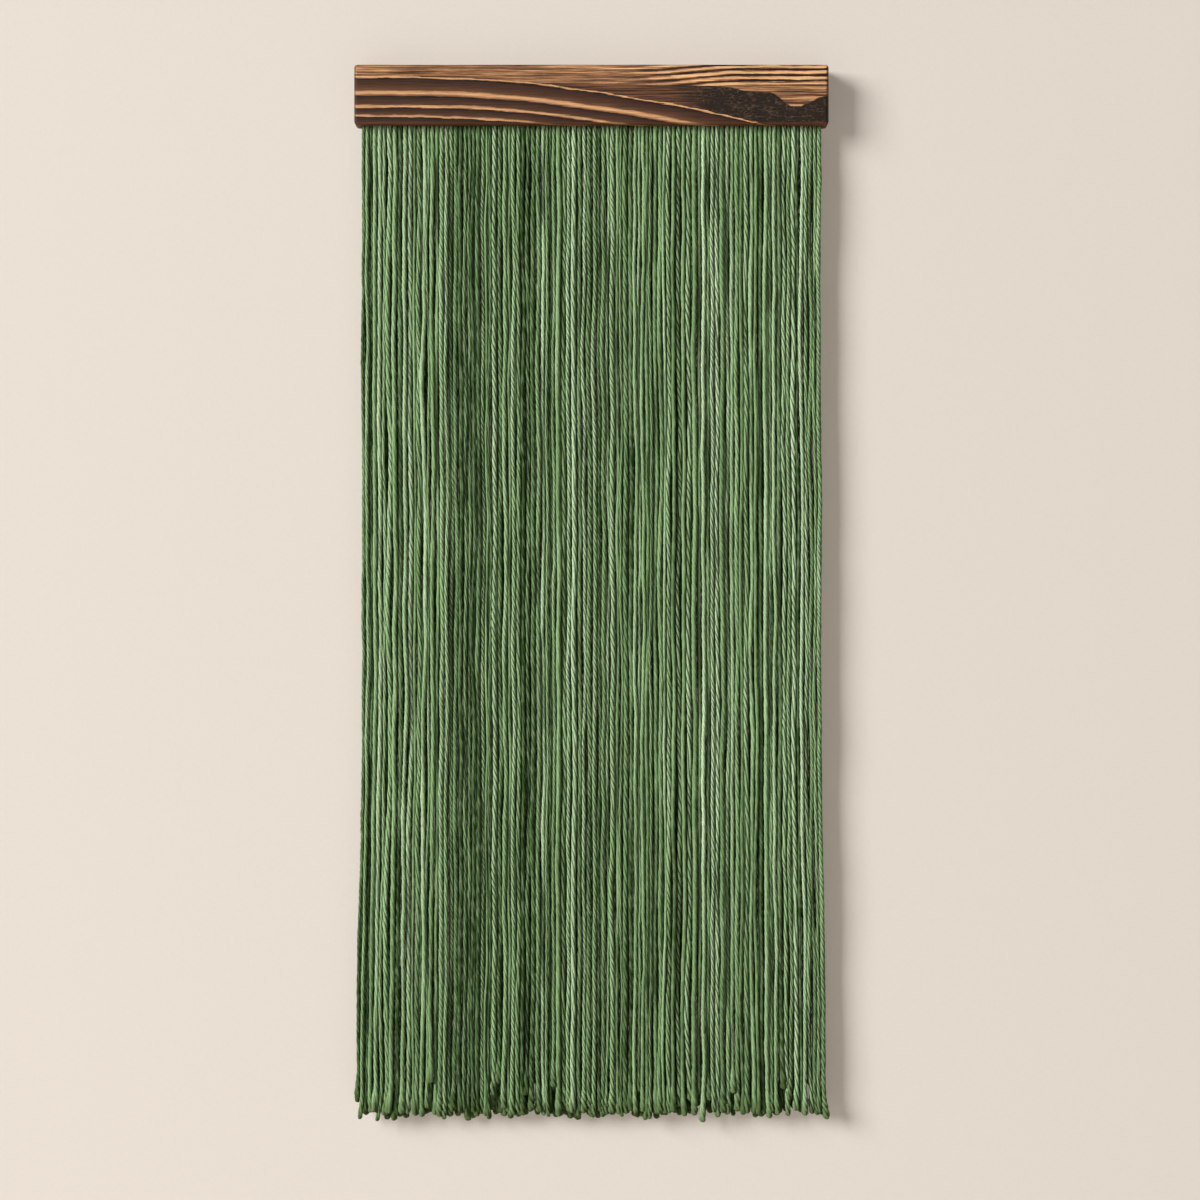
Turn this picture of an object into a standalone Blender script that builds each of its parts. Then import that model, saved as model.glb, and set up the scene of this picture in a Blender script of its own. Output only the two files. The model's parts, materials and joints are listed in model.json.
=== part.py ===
"""Cord fringe wall hanging: a charred pine bar that holds two rows of hanging cords.

The wall is the plane y = 0 and the front faces -Y. The origin is the hanging point: the middle notch of the
sawtooth hanger, on the wall plane. The cords' tops are sewn to a heading tape and clamped in a slot along the
bar's lower back edge. Below the bar they hang as locks, which swing forward about the slot's mouth.
"""

import math

import bmesh
import bpy
from mathutils import Matrix

# Bar
BAR_LENGTH = 0.300
BAR_DEPTH = 0.019
BAR_HEIGHT = 0.038
BAR_EDGE_RADIUS = 0.002
BAR_TOP_ABOVE_HANGING_POINT = 0.010
SLOT_END_WALL = 0.0037  # wood left at each end of the slot

# Fringe
CORD_DIAMETER = 0.0029
CORD_DROP = 0.632  # longest cords, below the bar
CORD_HEAD_LENGTH = 0.0125  # held inside the slot
LOCK_COUNT = 5
LOCK_SIDE_GAP = 0.0006
LOCK_FLEX_LENGTH = 0.004  # bare bend between the slot's mouth and the stiff part of a lock
VALLEY_DEPTH = 0.00045  # how far the valley between two cords lies below their crowns
LOBE_STEPS = 3
TAPE_THICKNESS = 0.0008
TAPE_HEIGHT = 0.010

# Clamp strip and its screws
CLAMP_THICKNESS = 0.005
CLAMP_LEDGE_HEIGHT = 0.009  # how far the strip bears on wood above the cords
CLAMP_EDGE_RADIUS = 0.0005
SCREW_COUNT = 4
SCREW_END_DISTANCE = 0.030  # from the strip's end to the first screw
SCREW_LENGTH = 0.016
SCREW_SHANK_DIAMETER = 0.0029
SCREW_HEAD_DIAMETER = 0.0055
SCREW_TIP_LENGTH = 0.003
SCREW_POINT_DIAMETER = 0.0004
RECESS_WIDTH = 0.0008
RECESS_LENGTH = 0.0030
RECESS_DEPTH = 0.0014

# Hanger and its nails
HANGER_SHEET = 0.0008
HANGER_HEIGHT = 0.0080  # above the notches
HANGER_RISE = 0.0005  # how far the middle stands off the flat ends
TOOTH_PITCH = 0.003
TOOTH_DEPTH = 0.0012
TEETH_EACH_SIDE = 4  # on the raised middle
HANGER_TAB_LENGTH = 0.0075  # each flat end
NAIL_DIAMETER = 0.0012
NAIL_LENGTH = 0.009
NAIL_HEAD_DIAMETER = 0.0032
NAIL_HEAD_THICKNESS = 0.0004

# Bumpers
STAND_OFF = 0.002  # bar's back to wall
BUMPER_DIAMETER = 0.010
BUMPER_END_DISTANCE = 0.008  # from the strip's end to the bumper's middle

GAP = 0.0003  # between neighbouring pieces
CUT_PAST = 0.002  # how far a cutter runs past the wood
ROUND_STEPS = 20
MERGE = 0.000001

# Places that follow from the sizes
BACK_Y = -STAND_OFF
BAR_TOP = BAR_TOP_ABOVE_HANGING_POINT
BAR_BOTTOM = BAR_TOP - BAR_HEIGHT
SLOT_HALF = BAR_LENGTH / 2 - SLOT_END_WALL
SLOT_DEPTH = CLAMP_THICKNESS + 2 * CORD_DIAMETER + TAPE_THICKNESS + 4 * GAP
SLOT_TOP = BAR_BOTTOM + CORD_HEAD_LENGTH + GAP
CLAMP_TOP = SLOT_TOP + CLAMP_LEDGE_HEIGHT
CLAMP_HALF = SLOT_HALF - GAP
REAR_ROW_Y = BACK_Y - CLAMP_THICKNESS - GAP - CORD_DIAMETER / 2
TAPE_Y = REAR_ROW_Y - CORD_DIAMETER / 2 - GAP - TAPE_THICKNESS / 2
FRONT_ROW_Y = TAPE_Y - TAPE_THICKNESS / 2 - GAP - CORD_DIAMETER / 2
HINGE_Y = (FRONT_ROW_Y + REAR_ROW_Y) / 2
LOCK_WIDTH = 2 * CLAMP_HALF / LOCK_COUNT
SCREW_Z = (SLOT_TOP + CLAMP_TOP) / 2
NAIL_Z = HANGER_HEIGHT / 2
HANGER_MIDDLE_HALF = TEETH_EACH_SIDE * TOOTH_PITCH
HANGER_HALF = HANGER_MIDDLE_HALF + TOOTH_PITCH + HANGER_TAB_LENGTH
NAIL_X = HANGER_HALF - HANGER_TAB_LENGTH / 2
BUMPER_X = CLAMP_HALF - BUMPER_END_DISTANCE
BUMPER_Z = (BAR_BOTTOM + SLOT_TOP) / 2
INTO_WOOD = Matrix.Rotation(math.radians(90), 4, "X")  # turns a piece's +Z end to face the front, -Y


def clear_scene():
    for old in list(bpy.data.objects):
        bpy.data.objects.remove(old, do_unlink=True)


def collection(name):
    made = bpy.data.collections.new(name)
    bpy.context.scene.collection.children.link(made)
    return made


def material(name, color, roughness, metallic=0.0):
    made = bpy.data.materials.new(name)
    made.use_nodes = True
    shader = made.node_tree.nodes["Principled BSDF"]
    shader.inputs["Base Color"].default_value = (*color, 1.0)
    shader.inputs["Roughness"].default_value = roughness
    shader.inputs["Metallic"].default_value = metallic
    return made


def add(name, data, group, finish=None, matrix=None):
    """Links one object, with its finish and its place."""
    made = bpy.data.objects.new(name, data)
    group.objects.link(made)
    if finish is not None:
        data.materials.append(finish)
    if matrix is not None:
        made.matrix_world = matrix
    return made


def box_mesh(name, low, high):
    """A box between two corners, written about its own middle; returns the mesh and the middle."""
    middle = [(a + b) / 2 for a, b in zip(low, high)]
    size = [b - a for a, b in zip(low, high)]
    shape = bmesh.new()
    bmesh.ops.create_cube(shape, size=1.0, matrix=Matrix.Diagonal((*size, 1.0)))
    data = bpy.data.meshes.new(name)
    shape.to_mesh(data)
    shape.free()
    return data, Matrix.Translation(middle)


def box(name, low, high, group, finish=None):
    data, place = box_mesh(name, low, high)
    return add(name, data, group, finish, place)


def round_edges(piece, radius, segments=3):
    bevel = piece.modifiers.new("rounded edges", "BEVEL")
    bevel.width = radius
    bevel.segments = segments
    bevel.limit_method = "ANGLE"


def cut(piece, cutter):
    """Subtracts a cutter, which is shown as wire and left out of the part."""
    cutter.hide_render = True
    cutter.display_type = "WIRE"
    step = piece.modifiers.new("cut " + cutter.name, "BOOLEAN")
    step.operation = "DIFFERENCE"
    step.solver = "EXACT"
    step.object = cutter


def turned(name, profile, group, finish=None, matrix=None):
    """A solid of revolution about its own Z axis; profile is (radius, height) from the top pole to the bottom one."""
    data = bpy.data.meshes.new(name)
    edges = [(i, i + 1) for i in range(len(profile) - 1)]
    data.from_pydata([(r, 0.0, h) for r, h in profile], edges, [])
    made = add(name, data, group, finish, matrix)
    spin = made.modifiers.new("turned", "SCREW")
    spin.steps = ROUND_STEPS
    spin.render_steps = ROUND_STEPS
    spin.use_merge_vertices = True
    spin.merge_threshold = MERGE
    return made


def round_cutter(name, diameter, depth, group, matrix):
    """A cylinder that starts CUT_PAST outside its origin and runs depth into the wood, along its own +Z."""
    data = bpy.data.meshes.new(name)
    shape = bmesh.new()
    bmesh.ops.create_cone(
        shape,
        cap_ends=True,
        segments=ROUND_STEPS,
        radius1=diameter / 2,
        radius2=diameter / 2,
        depth=depth + CUT_PAST,
        matrix=Matrix.Translation((0, 0, (depth - CUT_PAST) / 2)),
    )
    shape.to_mesh(data)
    shape.free()
    return add(name, data, group, None, matrix)


def row_outline(half_width, lobes):
    """The outline of cords side by side, seen from above: one low lobe for each cord, on both faces."""
    pitch = 2 * half_width / lobes
    crown = CORD_DIAMETER / 2
    lobe_top = math.sin(math.pi / LOBE_STEPS)

    def face(side):
        points = []
        for step in range(lobes * LOBE_STEPS + 1):
            bulge = math.sin(math.pi * (step % LOBE_STEPS) / LOBE_STEPS) / lobe_top
            depth = crown - VALLEY_DEPTH * (1 - bulge)
            points.append((-half_width + step * pitch / LOBE_STEPS, side * depth))
        return points

    return face(-1) + face(1)[::-1]


def cord_row(name, half_width, z_low, z_high, group, finish):
    """A closed slab in the shape of a row of cords, about its own middle line."""
    lobes = round(2 * half_width / CORD_DIAMETER)
    data = bpy.data.curves.new(name, "CURVE")
    data.dimensions = "2D"
    data.fill_mode = "BOTH"
    data.extrude = (z_high - z_low) / 2
    outline = row_outline(half_width, lobes)
    line = data.splines.new("POLY")
    line.points.add(len(outline) - 1)
    for point, (x, y) in zip(line.points, outline):
        point.co = (x, y, 0.0, 1.0)
    line.use_cyclic_u = True
    return add(name, data, group, finish)


def screw_xs():
    first = -CLAMP_HALF + SCREW_END_DISTANCE
    step = -2 * first / (SCREW_COUNT - 1)
    return [first + i * step for i in range(SCREW_COUNT)]


def at_back(x, z, y=BACK_Y):
    """Places a piece with its top at the back of the bar, its axis running into the wood."""
    return Matrix.Translation((x, y, z)) @ INTO_WOOD


def screw_profile():
    """Blunt point, shank and 90 degree countersunk head, whose top is at height 0."""
    head = SCREW_HEAD_DIAMETER / 2
    shank = SCREW_SHANK_DIAMETER / 2
    return [
        (0.0, SCREW_LENGTH),
        (SCREW_POINT_DIAMETER / 2, SCREW_LENGTH),
        (shank, SCREW_LENGTH - SCREW_TIP_LENGTH),
        (shank, head - shank),
        (head, 0.0),
        (0.0, 0.0),
    ]


def make_bar(parts, cutters, finish):
    bar = box(
        "bar",
        (-BAR_LENGTH / 2, BACK_Y - BAR_DEPTH, BAR_BOTTOM),
        (BAR_LENGTH / 2, BACK_Y, BAR_TOP),
        parts,
        finish,
    )
    round_edges(bar, BAR_EDGE_RADIUS)
    slot = box(
        "slot_cutter",
        (-SLOT_HALF, BACK_Y - SLOT_DEPTH, BAR_BOTTOM - CUT_PAST),
        (SLOT_HALF, BACK_Y + CUT_PAST, SLOT_TOP),
        cutters,
    )
    ledge = box(
        "ledge_cutter",
        (-SLOT_HALF, BACK_Y - CLAMP_THICKNESS - GAP, BAR_BOTTOM - CUT_PAST),
        (SLOT_HALF, BACK_Y + CUT_PAST, CLAMP_TOP + GAP),
        cutters,
    )
    cut(bar, slot)
    cut(bar, ledge)
    for i, x in enumerate(screw_xs(), 1):
        pilot = round_cutter(
            f"screw_pilot_cutter_{i}",
            SCREW_SHANK_DIAMETER + 2 * GAP,
            SCREW_LENGTH + 2 * GAP,
            cutters,
            at_back(x, SCREW_Z),
        )
        cut(bar, pilot)
    for side, x in (("left", -NAIL_X), ("right", NAIL_X)):
        pilot = round_cutter(
            f"nail_pilot_cutter_{side}",
            NAIL_DIAMETER + 2 * GAP,
            NAIL_LENGTH + GAP,
            cutters,
            at_back(x, NAIL_Z),
        )
        cut(bar, pilot)


def make_clamp(parts, cutters, wood, steel):
    strip = box(
        "clamp_strip",
        (-CLAMP_HALF, BACK_Y - CLAMP_THICKNESS, BAR_BOTTOM),
        (CLAMP_HALF, BACK_Y, CLAMP_TOP),
        parts,
        wood,
    )
    round_edges(strip, CLAMP_EDGE_RADIUS, segments=2)
    for i, x in enumerate(screw_xs(), 1):
        place = at_back(x, SCREW_Z)
        shank = SCREW_SHANK_DIAMETER / 2 + GAP
        head = SCREW_HEAD_DIAMETER / 2 + GAP
        sink = turned(
            f"countersink_cutter_{i}",
            [
                (0.0, CLAMP_THICKNESS + CUT_PAST),
                (shank, CLAMP_THICKNESS + CUT_PAST),
                (shank, head - shank + GAP),
                (head, GAP),
                (head, -CUT_PAST),
                (0.0, -CUT_PAST),
            ],
            cutters,
            None,
            place,
        )
        cut(strip, sink)

        screw = turned(f"clamp_screw_{i}", screw_profile(), parts, steel, place)
        for turn in (0, 90):
            blade, _ = box_mesh(
                f"recess_cutter_{i}_{turn}",
                (-RECESS_LENGTH / 2, -RECESS_WIDTH / 2, -RECESS_DEPTH),
                (RECESS_LENGTH / 2, RECESS_WIDTH / 2, RECESS_DEPTH),
            )
            spun = place @ Matrix.Rotation(math.radians(turn), 4, "Z")
            cut(screw, add(blade.name, blade, cutters, None, spun))


def make_heading(parts, tape_finish, cord_finish):
    """The sewn tops of the cords, pressed flat, either side of their tape."""
    tape_top = SLOT_TOP - GAP
    box(
        "heading_tape",
        (-CLAMP_HALF, TAPE_Y - TAPE_THICKNESS / 2, tape_top - TAPE_HEIGHT),
        (CLAMP_HALF, TAPE_Y + TAPE_THICKNESS / 2, tape_top),
        parts,
        tape_finish,
    )
    for name, y in (("front_cord_heads", FRONT_ROW_Y), ("rear_cord_heads", REAR_ROW_Y)):
        heads = box(
            name,
            (-CLAMP_HALF, y - CORD_DIAMETER / 2, BAR_BOTTOM),
            (CLAMP_HALF, y + CORD_DIAMETER / 2, tape_top),
            parts,
            cord_finish,
        )
        round_edges(heads, VALLEY_DEPTH, segments=2)


def make_locks(parts, finish):
    """Front and rear cords of each lock, on an empty that stands on the lock's hinge line."""
    half = (LOCK_WIDTH - LOCK_SIDE_GAP) / 2
    top = -LOCK_FLEX_LENGTH
    middle = (top - CORD_DROP) / 2
    for i in range(LOCK_COUNT):
        hinge = bpy.data.objects.new(f"fringe_lock_{i + 1}_hinge", None)
        hinge.location = (-CLAMP_HALF + (i + 0.5) * LOCK_WIDTH, HINGE_Y, BAR_BOTTOM)
        parts.objects.link(hinge)
        for row, y in (("front", FRONT_ROW_Y), ("rear", REAR_ROW_Y)):
            slab = cord_row(f"fringe_lock_{i + 1}_{row}", half, -CORD_DROP, top, parts, finish)
            slab.parent = hinge
            slab.location = (0.0, y - HINGE_Y, middle)


def hanger_sheet():
    """The hanger's middle surface in its own X-Z plane: a strip with teeth below, standing proud between its ends."""
    half_tooth = TOOTH_PITCH / 2
    middle_steps = 2 * TEETH_EACH_SIDE
    tab_steps = math.ceil(HANGER_TAB_LENGTH / half_tooth)
    tab_xs = [
        HANGER_MIDDLE_HALF + TOOTH_PITCH + HANGER_TAB_LENGTH * i / tab_steps for i in range(tab_steps + 1)
    ]
    right = [i * half_tooth for i in range(middle_steps + 2)] + tab_xs
    xs = [-x for x in reversed(right[1:])] + right

    shape = bmesh.new()
    columns = []
    for x in xs:
        tooth = round(abs(x) / half_tooth)
        in_notch = tooth <= middle_steps and tooth % 2 == 0
        low = 0.0 if in_notch else -TOOTH_DEPTH
        ramp = min(1.0, max(0.0, (abs(x) - HANGER_MIDDLE_HALF) / TOOTH_PITCH))
        y = HANGER_RISE * (1 - ramp)
        columns.append([shape.verts.new((x, y, z)) for z in (low, HANGER_HEIGHT)])
    for (a, b), (c, d) in zip(columns, columns[1:]):
        shape.faces.new((a, b, d, c))
    data = bpy.data.meshes.new("sawtooth_hanger")
    shape.to_mesh(data)
    shape.free()
    return data


def make_hanger(parts, cutters, steel, brass):
    seat = BACK_Y + GAP + HANGER_SHEET / 2
    hanger = add("sawtooth_hanger", hanger_sheet(), parts, steel, Matrix.Translation((0, seat, 0)))
    sheet = hanger.modifiers.new("sheet", "SOLIDIFY")
    sheet.thickness = HANGER_SHEET
    sheet.offset = 0.0
    sheet.use_even_offset = True
    tab_back = BACK_Y + GAP + HANGER_SHEET
    head_top = tab_back + GAP + NAIL_HEAD_THICKNESS
    for side, x in (("left", -NAIL_X), ("right", NAIL_X)):
        hole = round_cutter(
            f"nail_hole_cutter_{side}",
            NAIL_DIAMETER + 2 * GAP,
            HANGER_SHEET + 2 * GAP,
            cutters,
            at_back(x, NAIL_Z, tab_back),
        )
        cut(hanger, hole)
        shank = NAIL_DIAMETER / 2
        head = NAIL_HEAD_DIAMETER / 2
        length = NAIL_LENGTH + head_top - BACK_Y
        turned(
            f"hanger_nail_{side}",
            [
                (0.0, length),
                (shank, length - 2 * NAIL_DIAMETER),
                (shank, NAIL_HEAD_THICKNESS),
                (head, NAIL_HEAD_THICKNESS),
                (head, NAIL_HEAD_THICKNESS / 2),
                (head - NAIL_HEAD_THICKNESS / 2, 0.0),
                (0.0, 0.0),
            ],
            parts,
            brass,
            at_back(x, NAIL_Z, head_top),
        )


def make_bumpers(parts, finish):
    """Round felt pads on the clamp strip; their backs lie on the wall plane."""
    radius = BUMPER_DIAMETER / 2
    thickness = STAND_OFF - GAP
    chamfer = thickness / 5
    for side, x in (("left", -BUMPER_X), ("right", BUMPER_X)):
        turned(
            f"bumper_{side}",
            [(0.0, thickness), (radius, thickness), (radius, chamfer), (radius - chamfer, 0.0), (0.0, 0.0)],
            parts,
            finish,
            at_back(x, BUMPER_Z, 0.0),
        )


def main():
    clear_scene()
    parts = collection("cord_fringe_wall_hanging")
    cutters = collection("cutters")

    charred_pine = material("charred_pine", (0.165, 0.080, 0.042), 0.55)
    raw_pine = material("raw_pine", (0.55, 0.38, 0.22), 0.7)
    green_cord = material("green_cord", (0.160, 0.235, 0.110), 0.9)
    cotton_tape = material("cotton_tape", (0.10, 0.14, 0.07), 0.9)
    zinc = material("zinc_plated_steel", (0.62, 0.61, 0.58), 0.38, 1.0)
    brass = material("brass", (0.60, 0.44, 0.19), 0.35, 1.0)
    felt = material("grey_felt", (0.16, 0.15, 0.14), 0.95)

    make_bar(parts, cutters, charred_pine)
    make_clamp(parts, cutters, raw_pine, zinc)
    make_heading(parts, cotton_tape, green_cord)
    make_locks(parts, green_cord)
    make_hanger(parts, cutters, zinc, brass)
    make_bumpers(parts, felt)


main()
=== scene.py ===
"""The looks of the cord fringe wall hanging: twisted cords, charred pine, small hardware, wall and light.

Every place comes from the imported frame. The wall is the plane y = 0, the front faces -Y, and all lengths
are in metres unless a name ends in _mm.
"""

import json
import math

import bpy
import numpy as np
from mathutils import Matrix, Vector

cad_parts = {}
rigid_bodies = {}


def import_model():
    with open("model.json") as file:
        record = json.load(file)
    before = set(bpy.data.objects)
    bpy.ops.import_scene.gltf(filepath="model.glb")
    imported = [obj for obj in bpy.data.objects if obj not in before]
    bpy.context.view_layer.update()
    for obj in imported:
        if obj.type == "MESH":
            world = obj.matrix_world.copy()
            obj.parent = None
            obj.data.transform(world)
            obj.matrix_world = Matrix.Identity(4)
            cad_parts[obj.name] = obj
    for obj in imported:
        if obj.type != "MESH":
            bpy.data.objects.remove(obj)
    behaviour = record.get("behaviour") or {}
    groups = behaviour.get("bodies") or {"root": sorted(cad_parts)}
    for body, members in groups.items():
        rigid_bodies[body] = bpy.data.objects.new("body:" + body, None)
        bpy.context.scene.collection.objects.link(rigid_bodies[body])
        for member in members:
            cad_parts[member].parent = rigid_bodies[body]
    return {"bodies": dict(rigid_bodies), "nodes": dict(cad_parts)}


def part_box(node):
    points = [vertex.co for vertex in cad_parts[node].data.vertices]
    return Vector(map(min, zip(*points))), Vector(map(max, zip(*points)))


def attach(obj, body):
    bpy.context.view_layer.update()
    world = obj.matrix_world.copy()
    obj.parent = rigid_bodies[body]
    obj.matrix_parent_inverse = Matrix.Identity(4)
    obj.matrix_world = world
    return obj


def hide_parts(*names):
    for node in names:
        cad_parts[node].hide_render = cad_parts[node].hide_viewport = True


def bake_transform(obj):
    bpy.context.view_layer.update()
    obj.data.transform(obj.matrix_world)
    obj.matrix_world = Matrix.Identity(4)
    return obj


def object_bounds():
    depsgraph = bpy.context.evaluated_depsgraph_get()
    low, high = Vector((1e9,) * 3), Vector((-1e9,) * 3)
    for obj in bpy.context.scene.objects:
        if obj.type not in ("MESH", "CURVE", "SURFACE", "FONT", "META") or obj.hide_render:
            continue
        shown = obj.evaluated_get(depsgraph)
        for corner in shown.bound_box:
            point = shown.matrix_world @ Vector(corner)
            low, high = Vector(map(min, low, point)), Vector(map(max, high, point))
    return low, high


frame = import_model()
cad_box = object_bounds()

MM = 0.001
TURN = 2 * math.pi
LOCKS = [body for body in frame["bodies"] if body.startswith("fringe_lock_")]
ROWS = ("front", "rear")

# View: square frame, at the height of the fringe's middle
VIEW_WIDTH = 0.758  # of the plane of the bar's face that fills the frame
LENS_MM = 85.0
SENSOR_MM = 36.0
VIEW_RIGHT = 0.0054  # the frame's middle, right of the bar's middle
VIEW_DOWN = 0.3385  # the frame's middle, below the bar's top
CLIP_END = 30.0  # how far the camera sees

# Cords: how many points, and where they hang
CORD_SEED = 11
RING_STEP = 0.00145
END_RINGS_MM = (3.2, 2.4, 1.7, 1.1, 0.65, 0.3, 0.1, 0.0)  # distances from a cord's end, where it rounds off
SIDES = 12  # points round a cord, four for each ply
HALF_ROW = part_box("front_cord_heads")[1][0]
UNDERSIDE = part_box("bar")[0][2]
HEAD_HIDDEN = 0.0105  # cord above the bar's underside, inside the slot
JOIN_GAP = 0.0006  # between neighbouring locks, which their cords close
DECLARED_IN_ROW = (0, 6, 13, 19)  # cords of each row that are pieces of their own
PATH_STEP = 5  # rings from one point of the path of a cord that is a piece of its own to the next
PLACE_SCATTER = 0.00022  # forward or back from the row's middle, at the bar
DEPTH_SCATTER = 0.00085  # further scatter below the bar
DEPTH_CLIP = 1.4  # largest scatter, in standard deviations
SWING_BACK = math.radians(0.5)  # how far a lock swings towards the wall
WALL_ROOM = 0.0004  # left between a cord and the wall at that limit
LUMPS_ROOM = 1.1  # a cord's reach with most of its lumps, as a share of its radius

# Cords: length
COMMON_DROP = 0.627
LENGTH_SPREAD = 0.0016
SHORT_SHARE = 0.16  # of the cords, which are shorter by a share of SHORT_MOST in SHORT_RANGE
SHORT_MOST = 0.020
SHORT_RANGE = (0.15, 1.0)
LONG_SHARE = 0.05  # of the cords, which are longer by a share of LONG_MOST in LONG_RANGE
LONG_MOST = 0.005
LONG_RANGE = (0.4, 1.0)

# Cords: path. Waves are given by their number, shortest and longest wavelength, and largest amplitude.
LEAN_LENGTH = 0.035  # below the bar, in which cords reach their full drift
ROW_SIDEWAYS_WAVES = (6, 0.12, 0.50, 0.0003)
ROW_FORWARD_WAVES = (5, 0.10, 0.45, 0.0003)
SHARED_ACROSS = 55.0  # how fast the row's drift changes from cord to cord, per metre
OWN_SIDEWAYS_WAVES = ((6, 0.05, 0.26, 0.00050), (5, 0.012, 0.045, 0.00010))
OWN_FORWARD_WAVES = ((6, 0.05, 0.26, 0.00045), (4, 0.014, 0.045, 0.00008))
LOOSENESS = {"front": 0.85, "rear": 0.08}  # share of a cord's own sideways drift
SPREAD_START = 0.35  # below the bar, where the fringe starts to widen
SPREAD_MOST = 0.0034  # how far the outermost cords stray outwards at the end

# Cords: thickness
WIDTH_SPREAD = {"front": 0.19, "rear": 0.07}
WIDTH_CLIP = 1.6  # largest difference in width, in standard deviations
FILL = {"front": 0.89, "rear": 1.09}  # thickness from crown to crown, as a share of the cord's room
ROOM_MOST = 1.2  # most room that a cord uses, as a share of the pitch
THICKNESS_WAVES = (6, 0.008, 0.07, 0.055)
WIDEST = 0.0024  # largest radius, at a flared tip
NUB_LENGTHS = (0.0038, 0.013)  # shortest and longest unevenness of the surface
NUB_LOBES = (1, 2, 3, 1, 2)  # how often each one comes round a cord
NUB_SIZE = 0.042
NUB_RANGE = (0.4, 1.0)  # share of NUB_SIZE

# Cords: plies
PLIES = 3
PLY_PROFILE = (1.0, 0.93, 0.70, 0.93)  # crown, shoulder, valley, shoulder
PLY_DEPTH_RANGE = (0.45, 1.0)  # from loosely to tightly twisted
LAY_RANGE = (0.0130, 0.0290)  # length in which a ply goes once round
TWIST_WAVES = (5, 0.02, 0.14, 1.1)  # amplitude in radians

# Cords: tips. A stretch is where a change starts and ends, from 0, TIP_LENGTH above the end, to 1, the end.
TIP_LENGTH = 0.021
TIP_FLARE_RANGE = (0.30, 1.0)  # growth of the radius
TIP_FLARE_STRETCH = (0.1, 0.9)
TIP_OPENING = 0.9  # how much deeper the valleys get
TIP_OPENING_STRETCH = (0.4, 0.9)
TIP_BROWN_STRETCH = (0.35, 1.0)
TIP_SPLAY = (0.0007, 0.0006)  # spread of the sideways and forward bend
EDGE_SPLAY = 0.0016  # further outward bend of the outermost ends
END_ROUNDING = 0.9  # height of the rounded end, as a share of the radius
END_CLOSING = 0.92  # share of the cross-section that is gone at the last ring

# Cords: tone, from 0, dark, to 1, pale
TONE = {"front": 0.48, "rear": 0.18}  # mean; the rear row's much lower tone is painted shade, for the shade behind the front row
TONE_SPREAD = 0.20
TONE_WAVES = (4, 0.05, 0.35, 0.10)
LOW_SHADE = 0.16  # how much the tone drops towards the end
NOISE_SHIFT = 0.5  # how far apart the cords lie in the yarn's noise

# Cords: map for baking. A map column holds one stretch of one cord.
COLUMNS = {"alone": 8, "joined": 2}  # for each cord, in a mesh of its own and in a shared one
COLUMN_MARGIN = 0.06
MAP_LOW = 0.01
MAP_HEIGHT = 0.98  # of the cords' part of the map, from MAP_LOW up
CAP_PLACES = (0.002, 0.998)  # heights of the strips for the cords' two ends
CAP_HEIGHT = 0.001

# Light: name, place, side length, watts and colour
LIGHTS = (
    ("key", (-7.80, -5.72, 2.90), 4.6, 1900.0, (1.0, 0.99, 0.975)),
    ("fill", (1.4, -2.6, 0.1), 2.0, 3.0, (1.0, 1.0, 1.0)),
    ("back", (-1.2, 1.6, 0.9), 1.6, 30.0, (1.0, 1.0, 1.0)),
    ("side", (2.2, 1.5, 0.5), 1.6, 22.0, (1.0, 1.0, 1.0)),
)
SKY_STRENGTH = 0.07
# Painted light: how much the wall glows, for the studio's bounce that lightens the shadows on it
WALL_GLOW = 0.19

# Tape and bumpers
TAPE_YARN = 0.0009
TAPE_CELL = 0.001
TAPE_RIPPLE = 0.12  # as a share of the tape's thickness
FELT_SIDES = 64
FELT_SEEDS = {"bumper_left": 5, "bumper_right": 6}
FELT_FUZZ = 0.018  # how far the rim is in, at most, as a share of its radius
FELT_PROFILE = (  # shares of the radius and of the depth, from front to back
    (0.35, 0.0),
    (0.7, 0.0),
    (0.93, 0.02),
    (1.0, 0.14),
    (1.0, 0.5),
    (0.99, 0.84),
    (0.93, 0.95),
    (0.7, 0.985),
    (0.35, 1.0),
)

rng = np.random.default_rng(CORD_SEED)


# ---------------------------------------------------------------- node helpers


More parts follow.
